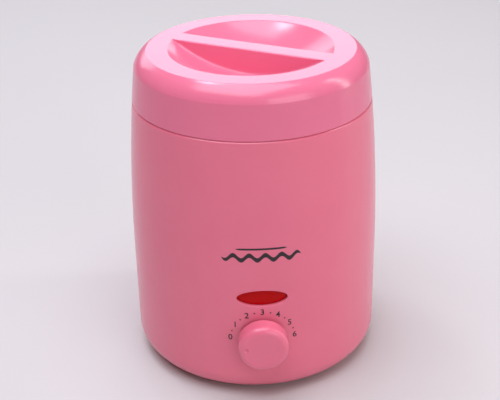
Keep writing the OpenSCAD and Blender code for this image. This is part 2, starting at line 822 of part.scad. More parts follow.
module pot_ear() {
  difference() {
    union() {
      block([ear_x, -ear_half, pot_top_z], [ear_x + ear_t, ear_half, pot_top_z + ear_t]);
      block([ear_x, -ear_top_r, pot_top_z], [ear_x + ear_t, ear_top_r, pivot_z]);
      translate([0, 0, pivot_z]) rod_x(ear_x, ear_x + ear_t, ear_top_r);
      block([ear_x, -ear_half, pot_top_z], [ear_x + ear_t + ear_foot, ear_half, pot_top_z + 0.8]);
    }
    translate([0, 0, pivot_z]) rod_x(ear_x - over, ear_x + ear_t + over, wire_r + pin_gap);
  }
}

module pot_ears() {
  color(metal_grey) for (a = [0, 180]) rotate([0, 0, a]) pot_ear();
}

module pot_bail() {
  end_x = ear_x + ear_t + 0.4;
  color(steel_grey) translate([0, 0, pivot_z]) rotate([-bail_droop, 0, 0]) union() {
    rotate_extrude(angle = 180) translate([bail_r, 0]) circle(r = wire_r, $fn = 32);
    for (a = [0, 180]) rotate([0, 0, a]) {
      translate([bail_r, 0, 0]) sphere(r = wire_r, $fn = 32);
      rod_x(bail_r, end_x + 0.2, wire_r);
      rod_x(end_x, end_x + 0.9, bail_head_r);
    }
  }
}

// ---------------------------------------------------------------- terminals and inlet

pole_r = 2.4;
clamp_screw_r = 1.9;

module terminal_block() {
  color(nylon_white) difference() {
    block([-block_w / 2, block_y, base_z], [block_w / 2, block_y + block_l, block_top]);
    for (x = [-pole_x, 0, pole_x]) {
      translate([x, 0, pole_z]) rod_y(block_y - over, block_y + block_l + over, pole_r);
      translate([x, block_y + block_l / 2, 0]) rod_z(pole_z, block_top + over, 2);
    }
    for (s = [-1, 1]) translate([s * fix_x, block_y + block_l / 2, 0]) {
      rod_z(base_z - over, block_top + over, 1.2);
      rod_z(block_top - 2, block_top + over, 1.9);
    }
  }
}

module terminal_screws() {
  color(brass_gold) for (x = [-pole_x, 0, pole_x])
    translate([x, block_y + block_l / 2, block_top - 0.5]) rotate([180, 0, 0]) screw(1.9, 1.2, 1.4, 1);
}

module block_screws() {
  color(steel_grey) for (s = [-1, 1])
    translate([s * fix_x, block_y + block_l / 2, block_top - 0.4]) rotate([180, 0, 0])
      screw(1.8, 1.2, 1.15, block_h + base_t - 2.4);
}

gland_inner_y = gland_pad_y - 7;

module cord_gland() {
  color(rubber_black) translate([0, 0, inlet_z]) difference() {
    union() {
      rod_y(gland_inner_y, gland_seat_y + 0.5, gland_body_r - fit_gap);
      rod_y(gland_seat_y, gland_seat_y + gland_flange_t, gland_flange_r);
    }
    rod_y(gland_inner_y - over, gland_seat_y + gland_flange_t + over, cord_bore / 2);
  }
}

module gland_nut() {
  color(rubber_black) translate([0, gland_pad_y, inlet_z]) rotate([90, 0, 0])
    nut(0, 4, 15, gland_body_r);
}

// ---------------------------------------------------------------- internal leads

// Point at t on the curve through b and c, with a before and d after them
function through(a, b, c, d, t) =
  0.5 * (2 * b + (c - a) * t + (2 * a - 5 * b + 4 * c - d) * t * t + (3 * b - a - 3 * c + d) * t * t * t);

// Smooth route through the points, with n steps between two of them
function route(p, n) = let (m = len(p) - 1) concat(
  [for (i = [0:m - 1]) for (k = [0:n - 1])
    through(p[max(i - 1, 0)], p[i], p[i + 1], p[min(i + 2, m)], k / n)],
  [p[m]]
);

function unit(v) = v / norm(v);

// Direction of a route at each of its points
function directions(p, first, last) = let (m = len(p) - 1)
  [for (i = [0:m]) i == 0 ? unit(first) : i == m ? unit(last) : unit(p[i + 1] - p[i - 1])];

// Side vector at each point, turned as little as possible from one to the next
function sides(d) = let (m = len(d) - 1)
  [for (i = 0, s = unit(cross(d[0], abs(d[0][2]) > 0.9 ? [1, 0, 0] : [0, 0, 1]));
    i <= m;
    s = unit(s - (s * d[min(i + 1, m)]) * d[min(i + 1, m)]), i = i + 1) s];

// Round lead of radius r along the points
module lead(points, r) {
  steps = 4;
  around = 8;
  p = route(points, steps);
  m = len(points) - 1;
  d = directions(p, points[1] - points[0], points[m] - points[m - 1]);
  s = sides(d);
  n = len(p);
  verts = [for (i = [0:n - 1]) for (k = [0:around - 1])
    let (a = 360 * k / around, t = cross(d[i], s[i])) p[i] + r * (cos(a) * s[i] + sin(a) * t)];
  skin = [for (i = [0:n - 2]) for (k = [0:around - 1]) let (j = (k + 1) % around)
    [i * around + k, (i + 1) * around + k, (i + 1) * around + j, i * around + j]];
  polyhedron(
    points = verts,
    faces = concat(skin, [[for (k = [0:around - 1]) k]],
      [[for (k = [around - 1:-1:0]) (n - 1) * around + k]])
  );
}

mains_r = 0.9;
thin_r = 0.7;
stat_end_y = stat_back + 0.5 + cover_l;                     // rear end face of a thermostat cover
pole_y = block_y + 1.5;                                     // where a lead ends in the block
cover_z = post_z - 0.5 - cover_l;                           // lower end face of a heater cover
fuse_end = fuse_half + 6;

// Insulating cover on a flat tab, at the origin: the tab enters along +Y, the lead leaves at y = cover_l
module cover() {
  difference() {
    block([-cover_w / 2, 0, -cover_t / 2], [cover_w / 2, cover_l, cover_t / 2]);
    block([-tab_w / 2 - fit_gap, -over, -tab_t / 2 - fit_gap],
          [tab_w / 2 + fit_gap, cover_l - 1.5, tab_t / 2 + fit_gap]);
  }
}

module tab_receptacles() {
  color(nylon_white) {
    for (s = [-1, 1]) translate([s * tab_x, stat_end_y - cover_l, tab_z]) cover();
    for (s = [-1, 1]) rotate([0, 0, s * terminal_turn])
      translate([0, post_y, cover_z + cover_l]) rotate([-90, 0, 0]) cover();
  }
}

// Position of the lower end of a heater cover, on side s
function heater_end(s) =
  [-s * post_y * sin(terminal_turn), post_y * cos(terminal_turn), cover_z];

module live_lead() {
  color(lead_brown) lead([
    [-pole_x, pole_y, pole_z], [-pole_x, pole_y - 5, pole_z], [-pole_x - 2, block_y - 20, 12],
    [-6, block_y - 30, 20], [-tab_x, stat_end_y + 4, tab_z], [-tab_x, stat_end_y, tab_z]
  ], mains_r);
}

module switched_lead() {
  color(lead_white) lead([
    [tab_x - 1, stat_end_y, tab_z], [tab_x - 1, stat_end_y + 4, tab_z],
    [10, stat_end_y + 19.5, 34], [20, fuse_y - 6, 44], [fuse_end + 7, fuse_y, fuse_z - 2],
    [fuse_end + 3, fuse_y, fuse_z], [fuse_end, fuse_y, fuse_z]
  ], mains_r);
}

module heater_lead() {
  e = heater_end(1);
  color(lead_white) lead([
    [-fuse_end, fuse_y, fuse_z], [-fuse_end - 3, fuse_y, fuse_z], [-fuse_end - 7, fuse_y + 6, fuse_z - 5],
    e + [-2, -4, -11], e + [0, 0, -6], e + [0, 0, -3], e
  ], mains_r);
}

module neutral_lead() {
  e = heater_end(-1);
  color(lead_blue) lead([
    e, e - [0, 0, 3], e - [0, 0, 6], [18, block_y + 14, 34], [19, block_y + 2, 20], [13, block_y - 9, 12],
    [pole_x + 1, pole_y - 6, pole_z], [pole_x + 1, pole_y, pole_z]
  ], mains_r);
}

module lamp_leads() {
  y = pillar_y;
  color(lead_blue) lead([
    [lamp_half, lamp_y, window_z], [lamp_hole_x - 1.4, lamp_y, window_z],
    [lamp_hole_x, lamp_y + 1.4, window_z], [lamp_hole_x, y - 0.5, window_z],
    [lamp_hole_x, y + 1.6, window_z], [13, y + 4, window_z - 1],
    [16, y + 9, window_z - 10], [20, block_y - 40, 24], [16, block_y - 22, 12],
    [pole_x - 1.1, pole_y - 6, pole_z], [pole_x - 1.1, pole_y, pole_z]
  ], thin_r);
  color(lead_white) lead([
    [-lamp_half, lamp_y, window_z], [-lamp_hole_x + 1.4, lamp_y, window_z],
    [-lamp_hole_x, lamp_y + 1.4, window_z], [-lamp_hole_x, y - 0.5, window_z],
    [-lamp_hole_x, y + 1.6, window_z], [-13, y + 4, window_z - 1],
    [-15, y + 10, window_z - 9], [-13, stat_end_y - 4, 37], [-2, stat_end_y + 11, 40],
    [tab_x + 1.6, stat_end_y + 5, tab_z + 3], [tab_x + 1.6, stat_end_y + 3, tab_z],
    [tab_x + 1.6, stat_end_y, tab_z]
  ], thin_r);
}

module earth_lead() {
  lug_z = well_z - 0.8 - lug_t;
  color(earth_green) {
    difference() {
      union() {
        translate([0, fuse_stud_y, 0]) rod_z(lug_z, lug_z + lug_t, 3.2);
        block([-1.6, fuse_stud_y + 2, lug_z], [1.6, fuse_stud_y + 7, lug_z + lug_t]);
      }
      translate([0, fuse_stud_y, 0]) rod_z(lug_z - over, lug_z + lug_t + over, stud_r + fit_gap);
    }
    lead([
      [0, fuse_stud_y + 6, lug_z], [0, fuse_stud_y + 6, lug_z - 4], [-4, block_y + 2, 34],
      [-5, block_y - 8, 20], [0, pole_y - 7, pole_z], [0, pole_y, pole_z]
    ], mains_r);
  }
}

// ---------------------------------------------------------------- nodes

lid();
housing();
base_plate();
rubber_foot(270);  // rubber_foot_1
rubber_foot(0);  // rubber_foot_2
rubber_foot(90);  // rubber_foot_3
rubber_foot(180);  // rubber_foot_4
base_screws();
indicator_lens();
lamp_holder();
holder_screws();
neon_lamp();
control_knob();
knob_clip();
thermostat_shaft();
thermostat_bush();
thermostat_nut();
thermostat_body();
thermostat_terminals();
thermostat_blade();
thermostat_bracket();
bracket_nuts();
heating_well();
well_gasket();
well_clips();
clip_screws();
heater_band();
heater_clamp();
clamp_screw();
clamp_nut();
heater_terminals();
insulation_sleeve();
thermal_fuse();
fuse_clip();
fuse_nut();
wax_pot();
pot_ears();
pot_bail();
terminal_block();
terminal_screws();
block_screws();
cord_gland();
gland_nut();
tab_receptacles();
live_lead();
switched_lead();
heater_lead();
neutral_lead();
lamp_leads();
earth_lead();
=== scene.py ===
import bmesh
import bpy
import numpy as np
from mathutils import Matrix, Vector


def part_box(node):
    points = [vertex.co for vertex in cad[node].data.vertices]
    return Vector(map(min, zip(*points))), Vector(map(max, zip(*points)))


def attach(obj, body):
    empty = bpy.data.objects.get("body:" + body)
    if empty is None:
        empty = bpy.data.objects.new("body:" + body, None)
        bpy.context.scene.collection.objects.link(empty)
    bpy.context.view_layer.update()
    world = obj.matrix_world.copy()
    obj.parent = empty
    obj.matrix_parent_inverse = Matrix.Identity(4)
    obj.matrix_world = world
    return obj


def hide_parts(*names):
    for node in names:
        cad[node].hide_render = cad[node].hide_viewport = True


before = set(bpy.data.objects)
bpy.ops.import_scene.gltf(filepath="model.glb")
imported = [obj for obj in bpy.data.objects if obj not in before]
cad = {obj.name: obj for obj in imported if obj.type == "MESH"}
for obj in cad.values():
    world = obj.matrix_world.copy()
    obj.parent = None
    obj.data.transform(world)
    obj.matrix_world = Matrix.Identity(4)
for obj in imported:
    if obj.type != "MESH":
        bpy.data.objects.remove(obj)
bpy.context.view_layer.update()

# ---------------------------------------------------------------- camera
# Someone standing close to the table looks down on the front of the warmer, a little from
# the left, through a short telephoto lens.

eye = (-0.0220, -0.4581, 0.3091)
turn, tip, roll = np.radians((-2.511, 62.797, -1.205))
camera_data = bpy.data.cameras.new("camera")
camera_data.lens = 76.33
camera_data.sensor_width = 36
camera = bpy.data.objects.new("camera", camera_data)
camera.matrix_world = (
    Matrix.Translation(eye)
    @ Matrix.Rotation(turn, 4, "Z") @ Matrix.Rotation(tip, 4, "X") @ Matrix.Rotation(roll, 4, "Z")
)
bpy.context.scene.collection.objects.link(camera)
bpy.context.scene.camera = camera

# ---------------------------------------------------------------- housing
# One injection moulding in glossy pink ABS: a barrel with a straight foot, drawn in towards
# the seam, and a pocket at the top that takes the well's flange and the lid's spigot.
# Its window, shaft hole and cord inlet are cut through the wall with slightly eased edges.
# All sizes are in millimetres, and piece() makes metres of them.

housing_low, housing_high = (np.array(corner) * 1000 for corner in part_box("housing"))
body_r = housing_high[0]
rim_z, seam_z = housing_low[2], housing_high[2]
wall = 2.4
foot_fillet = 10
straight_z = rim_z + 52
draw_in = 3.6
seam_chamfer = 0.5
pocket_depth = 6
deck_t = 2.5
seam_r = body_r - draw_in
pocket_r = seam_r - 5.4
hole_r = pocket_r - 6.5
opening_r = body_r - foot_fillet - 1.5
ledge_z = seam_z - pocket_depth
deck_z = ledge_z - deck_t
fillet_z = rim_z + foot_fillet
bulge_r = ((seam_z - straight_z) ** 2 + draw_in ** 2) / (2 * draw_in)
around = 256
ring_step = 1.5
sharp_r, edge_r = 0.25, 0.4


def linear(colour, alpha=1.0):
    """sRGB hex colour as linear light: c / 12.92 up to 0.04045, and ((c + 0.055) / 1.055) ^ 2.4 above it."""
    c = np.array([int(colour[i:i + 2], 16) for i in (1, 3, 5)]) / 255
    return (*np.where(c <= 0.04045, c / 12.92, ((c + 0.055) / 1.055) ** 2.4), alpha)


def add(tree, kind, inputs, **settings):
    """Adds a shader node, sets its fields, and gives each named or numbered input a value or a link."""
    node = tree.nodes.new("ShaderNode" + kind)
    for name, value in settings.items():
        setattr(node, name, value)
    for name, value in inputs.items():
        if isinstance(value, bpy.types.NodeSocket):
            tree.links.new(value, node.inputs[name])
        else:
            node.inputs[name].default_value = value
    return node


def material(name, colour):
    """A new node material with an empty tree, shown in one colour in the viewport, and that tree."""
    made = bpy.data.materials.new(name)
    made.use_nodes = True
    made.node_tree.nodes.clear()
    made.diffuse_color = linear(colour)
    return made, made.node_tree


def quads(rows, columns, closed):
    """Faces of a grid of rows × columns points; closed joins the last column to the first."""
    i, j = np.meshgrid(np.arange(rows - 1), np.arange(columns if closed else columns - 1), indexing="ij")
    a, b = i * columns + j, i * columns + (j + 1) % columns
    return np.stack([a, b, b + columns, a + columns], -1).reshape(-1, 4)


def piece(name, grids, finish, body="root", crease=38):
    """One mesh from grids of points in millimetres, each (points, faces), with points that coincide merged.

    It is smooth, apart from edges that turn by more than crease degrees, and it rides on body."""
    starts = np.cumsum([0] + [len(points) for points, _ in grids])
    points = np.vstack([points for points, _ in grids]) / 1000
    faces = np.vstack([faces + start for (_, faces), start in zip(grids, starts)])
    mesh = bpy.data.meshes.new(name)
    mesh.from_pydata(points.tolist(), [], faces.tolist())
    work = bmesh.new()
    work.from_mesh(mesh)
    bmesh.ops.remove_doubles(work, verts=work.verts, dist=2e-7)
    bmesh.ops.delete(work, geom=[v for v in work.verts if not v.link_faces], context="VERTS")
    work.to_mesh(mesh)
    work.free()
    mesh.shade_smooth()
    mesh.set_sharp_from_angle(angle=np.radians(crease))
    mesh.materials.append(finish)
    made = bpy.data.objects.new(name, mesh)
    bpy.context.scene.collection.objects.link(made)
    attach(made, body)
    return made


def unit(v):
    """A vector shortened or lengthened to 1."""
    return v / np.linalg.norm(v)


def rounded(corners, steps=5):
    """An outline (radius, height) through corners (radius, height, fillet).

    A corner with a fillet is an arc tangent to both its sides: its centre is fillet / sin(half the angle
    between them) away along their bisector. A side over 1.5 mm long gets a point 0.4 mm from each end."""
    at = np.array([corner[:2] for corner in corners], float)
    line = []
    for i, corner in enumerate(corners):
        if len(corner) < 3 or i in (0, len(corners) - 1):
            line.append(at[i])
            continue
        before, after = unit(at[i - 1] - at[i]), unit(at[i + 1] - at[i])
        half = np.arccos(before @ after) / 2
        centre = at[i] + unit(before + after) * corner[2] / np.sin(half)
        start, end = (at[i] + side * corner[2] / np.tan(half) - centre for side in (before, after))
        swept = np.pi - 2 * half
        for t in np.linspace(0, 1, steps + 1):
            line.append(centre + (np.sin((1 - t) * swept) * start + np.sin(t * swept) * end) / np.sin(swept))
    spaced = [line[0]]
    for start, end in zip(line, line[1:]):
        if np.linalg.norm(end - start) > 1.5:
            spaced += [start + 0.4 * unit(end - start), end - 0.4 * unit(end - start)]
        spaced.append(end)
    return np.array(spaced)


def turned(outline, turns):
    """The surface swept by an outline (radius, height) round Z: (r cos t, r sin t, z) at each turn t."""
    r, z = outline[:, :1], outline[:, 1:]
    points = np.stack([r * np.cos(turns), r * np.sin(turns), z + 0 * turns], -1).reshape(-1, 3)
    return points, quads(len(outline), len(turns), True)


def full_turn(count):
    """Equal steps once round, from -180 degrees."""
    return (np.arange(count) / count - 0.5) * 2 * np.pi


def wall_r(z, depth):
    """Radius of the barrel at height z, depth below its surface: a quarter round, a straight, then an arc."""
    below = np.maximum(fillet_z - z, 0)
    foot = body_r - foot_fillet + np.sqrt(np.maximum((foot_fillet - depth) ** 2 - below ** 2, 0))
    upper = body_r - depth - bulge_r + np.sqrt(bulge_r ** 2 - np.maximum(z - straight_z, 0) ** 2)
    return np.where(below > 0, foot, upper)


def on_wall(x, z, depth):
    """Points on the barrel at distance x round its widest circle from the front, height z, and that depth."""
    r, t = wall_r(z, depth), x / body_r - np.pi / 2
    return np.stack([r * np.cos(t), r * np.sin(t), z + 0 * t], -1)


def bored(centre, away, depth):
    """Where straight lines parallel to a hole's axis, at offsets away (x, z) from it, meet the barrel.

    The distance round the widest circle is its radius times the arc sine of x over the wall's radius."""
    z = centre[1] + away[:, 1]
    return np.stack([centre[0] + body_r * np.arcsin(away[:, 0] / wall_r(z, depth)), z], -1)


def block_edge(x, z, left, right, low, high):
    """Points (x, z) of a grid's lines round the edge of a block of its cells, counterclockwise."""
    i = np.concatenate([np.arange(left, right), np.full(high - low, right),
                        np.arange(right, left, -1), np.full(high - low, left)])
    j = np.concatenate([np.full(right - left, low), np.arange(low, high),
                        np.full(right - left, high), np.arange(high, low, -1)])
    return np.stack([x[i], z[j]], -1)


def closing_in(edge, centre, half, depth, steps=4):
    """Rings of points that go in equal steps from a block's edge to the ellipse bored inside it."""
    away = (edge - centre) / half
    ellipse = bored(centre, half * away / np.linalg.norm(away, axis=1, keepdims=True), depth)
    return [edge + (ellipse - edge) * share for share in np.linspace(0, 1, steps + 1)]


turn_angles = np.radians(np.linspace(0, 90, 12))
wall_z = np.concatenate([
    fillet_z - foot_fillet * np.cos(turn_angles[:-1]), np.arange(fillet_z, deck_z - 1, ring_step), [deck_z]])
inner_z = np.where(wall_z < fillet_z, fillet_z - (fillet_z - wall_z) * (1 - wall / foot_fillet), wall_z)
upper_z = np.linspace(deck_z, seam_z - seam_chamfer - edge_r, 7)[1:]
start_z = rim_z + 0.6
wall_outline = np.vstack([
    [(opening_r, start_z), (opening_r, rim_z)],
    np.stack([wall_r(wall_z, 0), wall_z], -1),
    np.stack([wall_r(upper_z, 0), upper_z], -1),
    rounded([
        (wall_r(upper_z[-1], 0), upper_z[-1]), (seam_r, seam_z - seam_chamfer, sharp_r),
        (seam_r - seam_chamfer, seam_z, sharp_r), (pocket_r, seam_z, edge_r), (pocket_r, ledge_z, edge_r),
        (hole_r, ledge_z, edge_r), (hole_r, deck_z, edge_r), (wall_r(deck_z, wall), deck_z),
    ])[1:-1],
    np.stack([wall_r(inner_z, wall), inner_z], -1)[::-1],
    [(opening_r, rim_z + wall), (opening_r, start_z)],
])
column_x = (np.arange(around) / around - 0.25) * 2 * np.pi * body_r
housing_points, housing_faces = turned(wall_outline, full_turn(around))
kept = np.ones((len(wall_outline) - 1, around), bool)
first_outer, first_inner = 2, len(wall_outline) - 3
eased = 0.3
holes = []


def pierce(centre, half, inner_half, margin, between):
    """Takes a block of cells out of both faces of the wall, and runs rings of points through the hole.

    between gives the rings from the outer ellipse to the inner one, from unit directions off the axis."""
    centre, outer_half = np.array(centre), np.array(half) + eased
    reach = outer_half + margin
    left, right = np.searchsorted(column_x, (centre[0] - reach[0], centre[0] + reach[0]))
    low, high = np.searchsorted(wall_z, (centre[1] - reach[1], centre[1] + reach[1]))
    kept[first_outer + low:first_outer + high, left:right] = False
    kept[first_inner - high:first_inner - low, left:right] = False
    edge = block_edge(column_x, wall_z, left, right, low, high)
    away = (edge - centre) / outer_half
    away /= np.linalg.norm(away, axis=1, keepdims=True)
    outside = closing_in(edge, centre, outer_half, 0)
    inside = closing_in(block_edge(column_x, inner_z, left, right, low, high), centre, inner_half, wall)
    rings = [on_wall(*ring.T, 0) for ring in outside]
    rings += between(centre, away)
    rings += [on_wall(*ring.T, wall) for ring in inside[::-1]]
    holes.append((np.vstack(rings), quads(len(rings), len(rings[0]), True)))


ease_turns = np.radians(np.linspace(0, 90, 5))
ease_steps = [(eased * (1 - np.sin(a)), eased * (1 - np.cos(a))) for a in ease_turns]


def eased_edge(half):
    """Rings over the quarter round at a hole's edge, of radius eased."""
    return lambda centre, away: [on_wall(*bored(centre, away * np.add(half, grown), depth).T, depth)
                                 for grown, depth in ease_steps[1:]]


window_half = (11.55, 4.05)
window_z = rim_z + 52
shaft_hole = (4, 4)
dial_z = rim_z + 30
seat_r, seat_edge, gland_bore_r = 8.5, 0.3, 6
seat_y = body_r - 1.6
inlet_z = rim_z + 18
block_margin, seat_margin = 2, 1.6


def gland_seat(centre, away):
    """Rings down the side of the gland's round seat to its flat floor, and across the floor to the bore."""
    side = eased_edge((seat_r, seat_r))(centre, away)
    floor = [on_wall(*bored(centre, away * r, 0).T, 0) for r in (seat_r, seat_r - seat_edge, gland_bore_r)]
    for ring in floor:
        ring[:, 1] = seat_y
    return side + floor


pierce((0, window_z), window_half, window_half, block_margin, eased_edge(window_half))
pierce((0, dial_z), shaft_hole, shaft_hole, block_margin, eased_edge(shaft_hole))
pierce((np.pi * body_r, inlet_z), (seat_r,) * 2, (gland_bore_r,) * 2, seat_margin, gland_seat)

# Glossy ABS straight from a polished mould: light spreads a little under its surface, the skin has a
# faint orange peel about 3 mm across, and where it has been handled the gloss is a little duller.


def finish(name, colour, second, roughness, grain, depth, fields=(), patches=22.0):
    """A surface that drifts from one colour to a second in patches, with a grain in its roughness and relief.

    The grain, its depth and the patches are in millimetres; roughness runs from 7% below to 10% above."""
    made, tree = material(name, colour)
    place = add(tree, "TexCoord", {}).outputs["Object"]
    broad = add(tree, "TexNoise", {"Vector": place, "Scale": 1000 / patches, "Detail": 3.0})
    fine = add(tree, "TexNoise", {"Vector": place, "Scale": 1000 / grain, "Detail": 2.0})
    tone = add(tree, "MixRGB", {0: broad.outputs["Fac"], 1: linear(colour), 2: linear(second)})
    worn = add(tree, "Math", {0: broad.outputs["Fac"], 1: fine.outputs["Fac"]}, operation="MULTIPLY")
    gloss = add(tree, "MapRange", {"Value": worn.outputs[0], "From Min": 0.12, "From Max": 0.4,
                                   "To Min": roughness * 0.93, "To Max": roughness * 1.1})
    relief = add(tree, "Bump", {"Height": fine.outputs["Fac"], "Strength": 1.0, "Distance": depth / 1000})
    shader = add(tree, "BsdfPrincipled", {"Base Color": tone.outputs[0], "Roughness": gloss.outputs[0],
                                          "Normal": relief.outputs[0], **dict(fields)})
    add(tree, "OutputMaterial", {"Surface": shader.outputs[0]})
    return made


abs_fields = {"IOR": 1.53, "Subsurface Weight": 0.1, "Subsurface Radius": (1.0, 0.45, 0.5),
              "Subsurface Scale": 0.0015}
pink_abs = finish("glossy moulded pink ABS", "#ef7992", "#eb738e", 0.22, 3.0, 0.0012, abs_fields)
housing_grids = [(housing_points, housing_faces[kept.ravel()])] + holes
housing = piece("housing_shell", housing_grids, pink_abs)

# Inside the wall stand a bored boss for each base screw, two pillars for the lamp holder, and the
# pad that the cord gland is clamped to.


def post(radius, bore, low, high):
    """A bored post along Z: its outline once round, from the bore's edge below."""
    outline = rounded([(bore, low), (radius, low), (radius, high, edge_r), (bore, high, 0.2), (bore, low)])
    return turned(outline, full_turn(40))


def facing_front(points):
    """Points whose Z is turned to face the front: (x, y, z) goes to (x, -z, y)."""
    return np.stack([points[:, 0], -points[:, 2], points[:, 1]], -1)


screw_turns = np.radians((45, 135, 225, 315))
boss_r, boss_bore, boss_h = 4, 1.5, 17
boss_circle = opening_r - 4.5
boss_points, boss_faces = post(boss_r, boss_bore, rim_z + wall, rim_z + boss_h)
post_grids = [(boss_points + [boss_circle * np.cos(t), boss_circle * np.sin(t), 0], boss_faces)
              for t in screw_turns]
pillar_x, pillar_r, pillar_bore = 17.5, 3, 1
pillar_points, pillar_faces = post(pillar_r, pillar_bore, 49, 54.6)
post_grids += [(facing_front(pillar_points) + [side * pillar_x, 0, window_z], pillar_faces)
               for side in (-1, 1)]
pad_r = 10
pad_points, pad_faces = post(pad_r, gland_bore_r, 54, 56)
post_grids.append((facing_front(pad_points) * [-1, -1, 1] + [0, 0, inlet_z], pad_faces))
piece("housing_posts", post_grids, pink_abs)
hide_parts("housing")

# ---------------------------------------------------------------- printing
# Pad-printed in black ink that stands a few hundredths of a millimetre proud: the dial's numbers
# from 0 to 6 with a dot halfway between, and above the window a wave with a thin line over it.

# The ink soaks up light and shows a faint speckle, 0.4 mm across, with hardly any gloss.
ink_t, speck_size = 0.03, 0.4
ink, tree = material("matt black pad-printing ink", "#201418")
place = add(tree, "TexCoord", {}).outputs["Object"]
speck = add(tree, "TexNoise", {"Vector": place, "Scale": 1000 / speck_size, "Detail": 2.0})
shade = add(tree, "MixRGB", {0: speck.outputs["Fac"], 1: linear("#1a1013"), 2: linear("#33222a")})
shader = add(tree, "BsdfPrincipled", {"Base Color": shade.outputs[0], "Roughness": 0.45, "IOR": 1.5})
add(tree, "OutputMaterial", {"Surface": shader.outputs[0]})


def printed(middle, half, across, inked):
    """A shape inked on the wall round a middle line (x, z), with inked points across it.

    At each point of the line it reaches half to either side in the direction across; it is ink_t thick."""
    share = np.linspace(-1, 1, inked)
    share, lift = np.concatenate([share, share[::-1]]), np.repeat([ink_t, 0], inked)
    at = middle[:, None] + half[:, None, None] * share[:, None] * across
    return on_wall(at[..., 0], at[..., 1], -lift).reshape(-1, 3), quads(len(middle), 2 * inked, True)


dial_r = 14.85
dial_first, dial_step = np.radians(175.5), np.radians(28.5)
digit_h, figure_share, bolder = 3.0, 0.72, 0.05
digit_grids = []
for number in range(7):
    curve = bpy.data.curves.new("digit", "FONT")
    curve.body = str(number)
    curve.align_x, curve.align_y = "CENTER", "CENTER"
    curve.size = digit_h / figure_share
    curve.offset = bolder
    curve.extrude = ink_t / 2
    curve.resolution_u = 4
    written = bpy.data.objects.new("digit", curve)
    bpy.context.scene.collection.objects.link(written)
    bpy.context.view_layer.update()
    flat = bpy.data.meshes.new_from_object(written.evaluated_get(bpy.context.evaluated_depsgraph_get()))
    at = np.empty(len(flat.vertices) * 3)
    flat.vertices.foreach_get("co", at)
    at = at.reshape(-1, 3)
    heading = dial_first - number * dial_step
    at[:, :2] += dial_r * np.array([np.cos(heading), np.sin(heading)]) + (0, dial_z)
    flat.calc_loop_triangles()
    corners = np.empty(len(flat.loop_triangles) * 3, int)
    flat.loop_triangles.foreach_get("vertices", corners)
    three = corners.reshape(-1, 3)
    digit_grids.append((on_wall(at[:, 0], at[:, 1], -ink_t / 2 - at[:, 2]), three))
    bpy.data.objects.remove(written)

piece("dial_numbers", digit_grids, ink)

dot_r = 0.35
dot_turns = np.radians(np.linspace(-90, 90, 13))
ink_grids = []
for number in range(6):
    heading = dial_first - (number + 0.5) * dial_step
    centre = np.array([dial_r * np.cos(heading), dial_z + dial_r * np.sin(heading)])
    middle = centre + np.stack([0 * dot_turns, dot_r * np.sin(dot_turns)], -1)
    ink_grids.append(printed(middle, dot_r * np.cos(dot_turns), (1, 0), 3))
piece("dial_dots", ink_grids, ink)

# The wave's middle line is a sine with the same height and pitch all along. Its stroke and the line
# above it come to nothing at their ends by a high power of the distance along.
mark_z = rim_z + 73
wave_half, wave_rise, waves = 18, 1.2, 5
line_half, line_z = 11.5, mark_z + 4.2
wave_stroke, line_stroke = 1.1, 0.45
along = np.linspace(-1, 1, 241)
ends = 1 - along ** 12
wave = np.stack([wave_half * along, mark_z + wave_rise * np.sin(along * waves * np.pi)], -1)
line = np.stack([line_half * along, line_z + 0 * along], -1)
mark_grids = [printed(wave, wave_stroke * ends, (0, -1), 5), printed(line, line_stroke * ends, (0, -1), 3)]
piece("housing_mark", mark_grids, ink)

# ---------------------------------------------------------------- window
# A clear red polycarbonate lens is pushed through the window from inside, up to its flange. Its face
# lies a millimetre below the wall's surface, a little domed, so the lamp glows across the whole of it.

lens_play, flange_w = 0.05, 1.55
lens_half, flange_half = np.array(window_half) - lens_play, np.array(window_half) + flange_w
flange_back, flange_front = 3.6, 2.55
face_depth, dome = 1, 0.25
edge_in, edge_down = 0.6, 0.5
rim_depth = face_depth + dome
lens_turns = np.radians(np.arange(0, 360, 3.75))
lens_away = np.stack([np.cos(lens_turns), np.sin(lens_turns)], -1)
lens_rings = [(flange_half * share, flange_back) for share in (0, 0.5, 0.98, 1)]
lens_rings += [(flange_half, flange_front), (lens_half + 0.05, flange_front - 0.03),
               (lens_half, flange_front - 0.05), (lens_half, rim_depth + edge_down)]
lens_rings += [(lens_half - edge_in * (1 - np.cos(a)), rim_depth + edge_down * (1 - np.sin(a)))
               for a in ease_turns[1:]]
lens_rings += [((lens_half - edge_in) * share, face_depth + dome * share ** 2)
               for share in (0.98, 0.9, 0.75, 0.5, 0.25, 0)]
lens_points = np.vstack([on_wall(*bored((0, window_z), half * lens_away, depth).T, depth)
                         for half, depth in lens_rings])
# Deep even red with a clean, dim reflection: so little light comes back out that it is kept opaque.
red_lens = finish("clear red polycarbonate", "#c40006", "#b40005", 0.12, 2.0, 0.001,
                  {"IOR": 1.586, "Specular IOR Level": 0.1})
lens = piece("window_lens", [(lens_points, quads(len(lens_rings), len(lens_turns), True))], red_lens,
             crease=50)
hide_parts("indicator_lens")

# ---------------------------------------------------------------- knob
# A hollow round moulding in the same pink ABS, with a soft edge to its face and a small round dimple
# that points to the number. A hub in it pushes on to the dial thermostat's D-shaped shaft.

